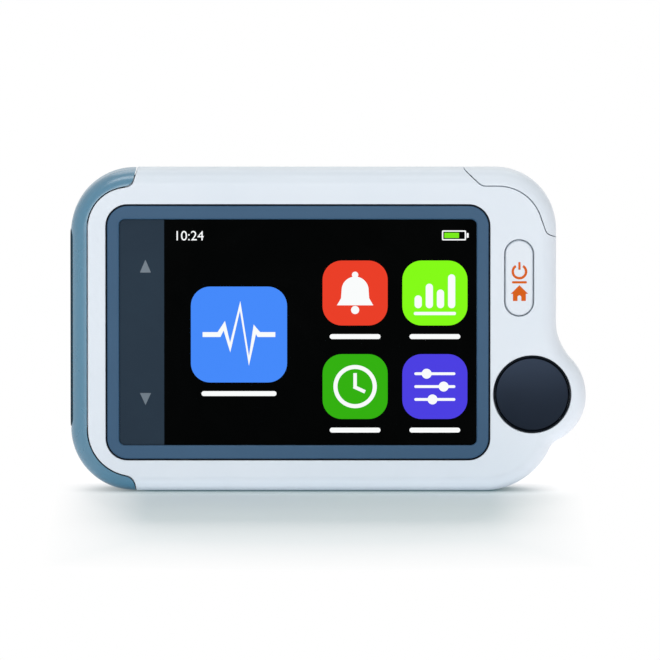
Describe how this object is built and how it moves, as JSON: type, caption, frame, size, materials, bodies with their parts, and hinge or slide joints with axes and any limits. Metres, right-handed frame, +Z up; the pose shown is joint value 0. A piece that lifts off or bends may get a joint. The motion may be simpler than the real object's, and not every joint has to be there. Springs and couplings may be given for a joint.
{
  "type": "handheld ecg monitor",
  "caption": "Pocket-size handheld heart and health monitor with a touch display, a sprung home key and finger electrodes in a lobe, on its left side and on its back.",
  "frame": {"origin": "below the middle of the whole outline, on the plane of the bottom edge, at mid thickness", "axes": "+X along the length, from the grip end to the end with the thumb lobe; +Y from the display to the back; +Z up the short side, towards the top edge"},
  "size_m": [0.088, 0.013, 0.055],
  "materials": {
    "white_shell": "satin white moulding with a cool tint",
    "key": "satin white",
    "grip": "satin blue-grey over-moulding",
    "bezel": "satin slate blue",
    "display_glass": "polished black window",
    "lcd": "polished",
    "tin_plate": "bright tin",
    "flex": "amber film",
    "chassis": "matt pressed",
    "board": "solder resist",
    "chip": "matt black",
    "electrode": "dark satin conductive coating",
    "dark_ring": "matt",
    "gold_contact": "gold flash",
    "sensor_window": "dark red filter window",
    "battery_foil": "laminated pouch foil",
    "foam": "matt foam",
    "steel": "bright"
  },
  "bodies": {
    "housing": {"front_cover": "white_shell", "rear_cover": "white_shell", "grip_band": "grip", "corner_cover": "white_shell", "display_bezel": "bezel", "touch_panel": "display_glass", "panel_gasket": "foam", "lcd_panel": "lcd", "backlight_tray": "tin_plate", "display_flex": "flex", "mid_frame": "chassis", "main_board": "board", "processor": "chip", "shield_can": "tin_plate", "analogue_chip": "chip", "flash_chip": "chip", "button_switch": "chip", "thumb_electrode": "electrode", "thumb_ring": "dark_ring", "thumb_contact": "gold_contact", "left_electrode": "electrode", "left_contact": "gold_contact", "back_electrode": "electrode", "back_contact": "gold_contact", "oximeter_window": "sensor_window", "oximeter_sensor": "chip", "battery": "battery_foil", "battery_pad": "foam", "speaker": "chip", "speaker_mesh": "foam", "data_socket": "steel", "socket_tongue": "chip", "housing_screw_1": "steel", "housing_screw_2": "steel", "housing_screw_3": "steel", "housing_screw_4": "steel", "board_screw_1": "steel", "board_screw_2": "steel"},
    "home_key": {"home_button": "key"},
    "plunger": {"switch_plunger": "chip"}
  },
  "joints": [
    {"name": "home_button_press", "type": "slide", "parent": "housing", "child": "home_key", "axis": [0, 1, 0], "range_m": [0, 0.0003], "stiffness_N_per_m": 800, "springref_m": -0.0002},
    {"name": "switch_plunger_press", "type": "slide", "parent": "housing", "child": "plunger", "axis": [0, 1, 0], "range_m": [0, 0.00035]}
  ],
  "couplings": [
    {"joint": "switch_plunger_press", "follows": "home_button_press", "ratio": 1}
  ]
}
